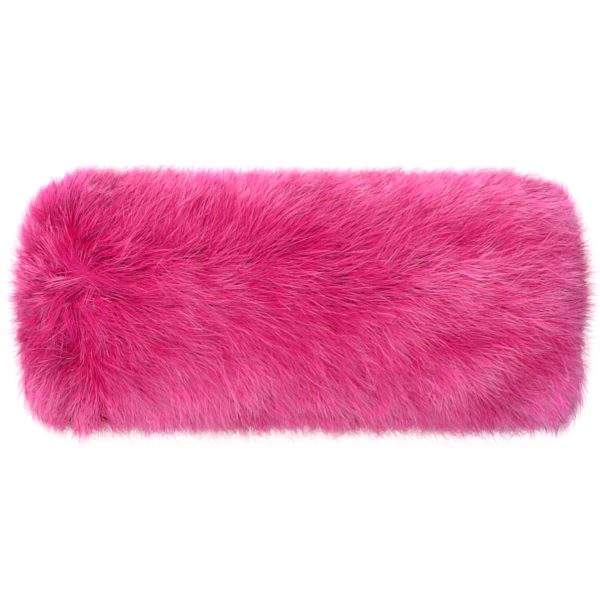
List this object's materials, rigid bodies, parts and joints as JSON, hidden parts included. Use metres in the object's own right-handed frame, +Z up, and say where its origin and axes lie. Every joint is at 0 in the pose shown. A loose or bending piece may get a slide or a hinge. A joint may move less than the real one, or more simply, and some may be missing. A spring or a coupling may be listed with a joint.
{
  "type": "faux fur headwrap",
  "caption": "Closed band of long-pile faux fur on knitted backing cloth, lying flat: a stretch headwrap that warms the head and ears, open along both long edges.",
  "frame": {"origin": "on the table under the middle of the band, at the centre of the underside", "axes": "+X along the band from the fold by the parting to the other fold, +Y across the band towards the edge that is uppermost in wear, +Z up from the table"},
  "size_m": [0.28, 0.129, 0.043],
  "materials": {
    "fur": "long dense hot pink pile with paler tips, combed to the right of a parting near the left fold, soft sheen",
    "backing_cloth": "matt fine knit dyed to match the fur"
  },
  "bodies": {
    "root": {"backing_band": "backing_cloth", "fur_pile": "fur"}
  },
  "joints": []
}
